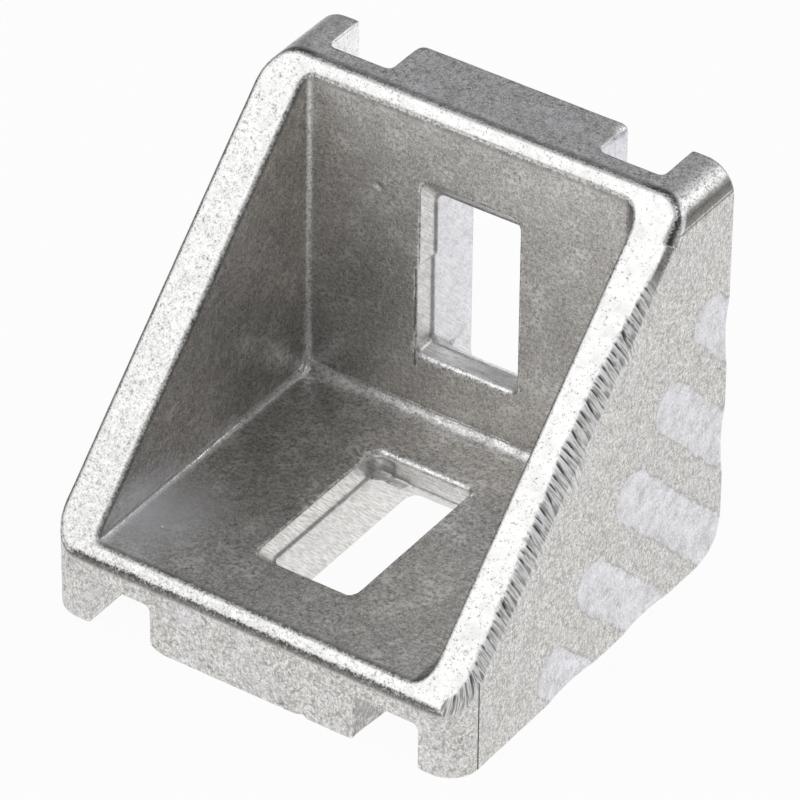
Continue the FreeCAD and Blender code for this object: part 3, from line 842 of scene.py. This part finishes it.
        # painted shade in streaks on the foot pad's right side
        pad_side_shade = self.both(self.ramp(self.facing_right, 0.15, 0.6),
                          self.ramp(self.z, 4.5 * MM, 4.0 * MM))
        pad_side = self.less(self.over(self.x, 8.9, 0.2), self.over(self.x, 10.2, 0.2))
        pad_side_shade = self.both(pad_side_shade, self.both(pad_side, self.over(self.depth, 29.0, 3.0)))
        pad_side_shade = self.both(pad_side_shade, self.ramp(self.streaks, 0.60, 0.42, 0.25, 0.85))
        colour = self.mix(pad_side_shade, colour, PAD_SIDE_SHADE)
        front = self.ramp(self.near(self.depth, FRONT_LINE * MM), 0.10 * MM, 0.05 * MM)
        front = self.both(front, self.ramp(self.z, 8.7 * MM, 8.4 * MM))
        top = self.ramp(self.near(self.z, TOP_LINE * MM), 0.08 * MM, 0.03 * MM)
        top = self.both(self.both(top, self.ramp(self.depth, 7.8 * MM, 7.4 * MM)), 0.6)
        right_face = self.both(self.over(self.side, HALF_WIDTH - 0.35, 0.05),
                               self.over(self.x, 18.0, 0.1))
        return self.mix(self.both(self.math("MAXIMUM", front, top), right_face), colour, GROOVE)

    def follow_file_marks(self):
        """The same places as tooth_place, worked out again so that the marks stay sharp."""
        past_side = self.math("SUBTRACT", self.both(self.side, 1 / MM), HALF_WIDTH - TIP_RADIUS)
        past_side = self.math("MAXIMUM", past_side, 0.001)
        past_front = self.math("SUBTRACT", self.both(self.depth, 1 / MM), TIP_START)
        past_front = self.math("MAXIMUM", past_front, 0.0)
        reach = self.math("ADD", self.both(past_side, past_side), self.both(past_front, past_front))
        inside = self.math("SUBTRACT", TIP_RADIUS, self.math("SQRT", reach))
        across = self.math("ADD", inside, self.both(self.past_rim, 1 / (math.sqrt(2) * MM)))
        self.across = self.both(across, -1 / math.sqrt(2))
        turn = self.math("ARCTAN2", past_front, past_side)
        round_corner = self.math("GREATER_THAN", turn, 0.0)
        corner_path = self.math("SUBTRACT", TIP_PATH, self.both(turn, TIP_ARC))
        path = self.math("ADD", self.both(corner_path, round_corner),
                         self.less(self.along, round_corner))
        slow = self.both(self.math("SINE", self.both(path, 0.9)), 0.25)
        fast = self.math("SINE", self.math("ADD", self.both(path, 2.3), 1.0))
        drift = self.math("ADD", slow, self.both(fast, 0.15))
        slant = self.math("ADD", path, self.both(self.across, SLANT))
        phase = self.math("ADD", self.both(slant, 1 / TOOTH), drift)
        self.tooth = self.math("FRACT", phase)
        chance = self.add("ShaderNodeTexWhiteNoise", {"W": self.math("FLOOR", phase)},
                          noise_dimensions="1D")
        self.chance = chance.outputs["Value"]
        lines = self.add("ShaderNodeCombineXYZ",
                         {0: self.both(slant, 5.5), 1: self.both(self.across, 0.9)})
        self.lines = self.noise(lines.outputs[0], 1.0, 2.0, 0.6)
        tone = self.math("ADD", self.both(self.tooth, 0.5), self.both(self.lines, 1.2))
        self.mark_tone = self.math("ADD", tone, self.both(self.chance, 0.15))

    def filed_skin(self):
        """Bright and dark lines slanting over the bevel, and painted shade at each mark's upper
        end.
        """
        torn = self.both(self.ramp(self.along, 30.4, 31.4), self.ramp(self.along, 33.4, 32.4))
        lower = self.both(self.ramp(self.along, 8.2, 9.0), self.ramp(self.along, 10.4, 9.6))
        torn = self.math("MAXIMUM", torn, lower)
        torn = self.math("MAXIMUM", torn, self.ramp(self.along, 4.5, 2.5))
        tone = self.math("SUBTRACT", self.mark_tone, self.both(torn, 0.2))
        skin = self.mix(self.ramp(tone, 0.55, 1.25), FILED_DARK, FILED_BRIGHT)
        white_line = self.math("ADD", self.lines, self.both(self.tooth, 0.12))
        skin = self.mix(self.ramp(white_line, 0.53, 0.60), skin, WHITE)
        # painted shade at each file mark's upper end
        upper_end = self.math("ADD", self.across, self.both(self.chance, 0.5))
        pocket_shade = self.both(self.ramp(self.tooth, 0.34, 0.12), self.ramp(upper_end, 0.0, -0.25))
        skin = self.mix(self.both(pocket_shade, 0.85), skin, FILED_POCKET_SHADE)
        worn = self.mix(self.ramp(self.grain, 0.4, 0.6), WORN_DARK, WORN_BRIGHT)
        return self.mix(self.unmarked, skin, worn)

    def finish(self, colour):
        """Roughness, fine relief and the metal's surface."""
        marked = self.less(self.filed, self.unmarked)
        rough = self.less(self.ramp(self.coarse, 0.3, 0.7, 0.34, 0.46), self.both(self.seam_highlight, 0.4))
        rough = self.math("ADD", rough, self.both(marked, 0.3))
        relief = self.ramp(self.hollow, 0.0, 1.0, 0.7, 0.45)
        grainy = self.add("ShaderNodeBump", {"Strength": relief, "Distance": 0.04 * MM,
                                             "Height": self.grain})
        scored = self.add("ShaderNodeBump", {"Strength": marked, "Distance": 0.05 * MM,
                                             "Height": self.mark_tone, "Normal": grainy.outputs[0]})
        surface = self.add("ShaderNodeBsdfPrincipled",
                           {"Base Color": colour, "Metallic": 1.0, "Roughness": rough,
                            "Normal": scored.outputs[0]})
        self.add("ShaderNodeOutputMaterial", {"Surface": surface.outputs[0]})


def cast_metal():
    material = bpy.data.materials.new("cast_aluminium")
    CastMetal(material)
    return material


def floor_white():
    """Pale floor: white to the camera and in reflections, but it keeps the shadow."""
    material = bpy.data.materials.new("floor")
    n = Nodes(material)
    path = n.add("ShaderNodeLightPath").outputs
    seen = n.math("MAXIMUM", path["Is Camera Ray"], path["Is Glossy Ray"])
    seen = n.math("MAXIMUM", seen, path["Is Transmission Ray"])
    matt = n.add("ShaderNodeBsdfDiffuse", {"Color": (0.86, 0.86, 0.86, 1)}).outputs[0]
    glow = n.add("ShaderNodeEmission", {"Color": (1, 1, 1, 1), "Strength": 1.0}).outputs[0]
    share = n.math("MULTIPLY", seen, 0.95)
    both = n.add("ShaderNodeMixShader", {0: share, 1: matt, 2: glow})
    n.add("ShaderNodeOutputMaterial", {"Surface": both.outputs[0]})
    return material


# ---------------------------------------------------------------- studio
def make_floor():
    side = 1.5
    mesh = bpy.data.meshes.new("floor")
    mesh.from_pydata([(-side, -side, 0), (side, -side, 0), (side, side, 0), (-side, side, 0)], [],
                     [(0, 1, 2, 3)])
    floor = new_object("floor", mesh)
    mesh.materials.append(floor_white())


def softbox(name, azimuth, elevation, distance, size, power):
    """Area lamp on a sphere round the bracket, turned to its middle."""
    lamp = bpy.data.lights.new(name, "AREA")
    lamp.shape = "RECTANGLE"
    lamp.size, lamp.size_y = size
    lamp.energy = power
    obj = bpy.data.objects.new(name, lamp)
    bpy.context.scene.collection.objects.link(obj)
    away = direction(azimuth, elevation)
    obj.location = MIDDLE + away * distance
    obj.rotation_euler = away.to_track_quat("Z", "Y").to_euler()
    return obj


def direction(azimuth, elevation):
    """Unit vector away from the bracket; azimuth 0 is the open side, 90 is the right."""
    a, e = math.radians(azimuth), math.radians(elevation)
    return Vector((math.sin(a) * math.cos(e), -math.cos(a) * math.cos(e), math.sin(e)))


MIDDLE = Vector((0.00102, 0.00014, 0.01731))


def make_camera():
    azimuth, elevation, roll, distance = 34.357, 36.388, 0.557, 0.5238
    back = direction(azimuth, elevation)
    right = Vector((-back.y, back.x, 0)).normalized()
    up = back.cross(right)
    turn = math.radians(roll)
    right, up = (right * math.cos(turn) + up * math.sin(turn),
                 up * math.cos(turn) - right * math.sin(turn))
    data = bpy.data.cameras.new("camera")
    data.sensor_width = 36
    data.lens = 310.9
    data.clip_start, data.clip_end = 0.01, 10
    camera = bpy.data.objects.new("camera", data)
    bpy.context.scene.collection.objects.link(camera)
    place = Matrix((right, up, back)).transposed().to_4x4()
    place.translation = MIDDLE + back * distance
    camera.matrix_world = place
    bpy.context.scene.camera = camera


def make_world():
    """Dim all round at eye level, paler overhead."""
    world = bpy.data.worlds.new("studio")
    bpy.context.scene.world = world
    n = Nodes(world)
    way = n.add("ShaderNodeTexCoord").outputs["Generated"]
    up = n.add("ShaderNodeSeparateXYZ", {0: way}).outputs[2]
    colour = n.mix(n.ramp(up, 0.05, 0.7), (0.15, 0.15, 0.15, 1), (0.50, 0.51, 0.53, 1))
    sky = n.add("ShaderNodeBackground", {"Color": colour, "Strength": 1.0})
    n.add("ShaderNodeOutputWorld", {"Surface": sky.outputs[0]})


casting = make_casting()
casting.data.materials.clear()
casting.data.materials.append(cast_metal())
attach(casting, "root")
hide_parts(NODE)

make_floor()
make_world()
softbox("key", -37, 42, 0.6, (0.5, 0.5), 0.74)
softbox("fill", 138, 32, 0.6, (0.3, 0.3), 0.4)
make_camera()
bpy.context.scene.view_settings.view_transform = "Standard"
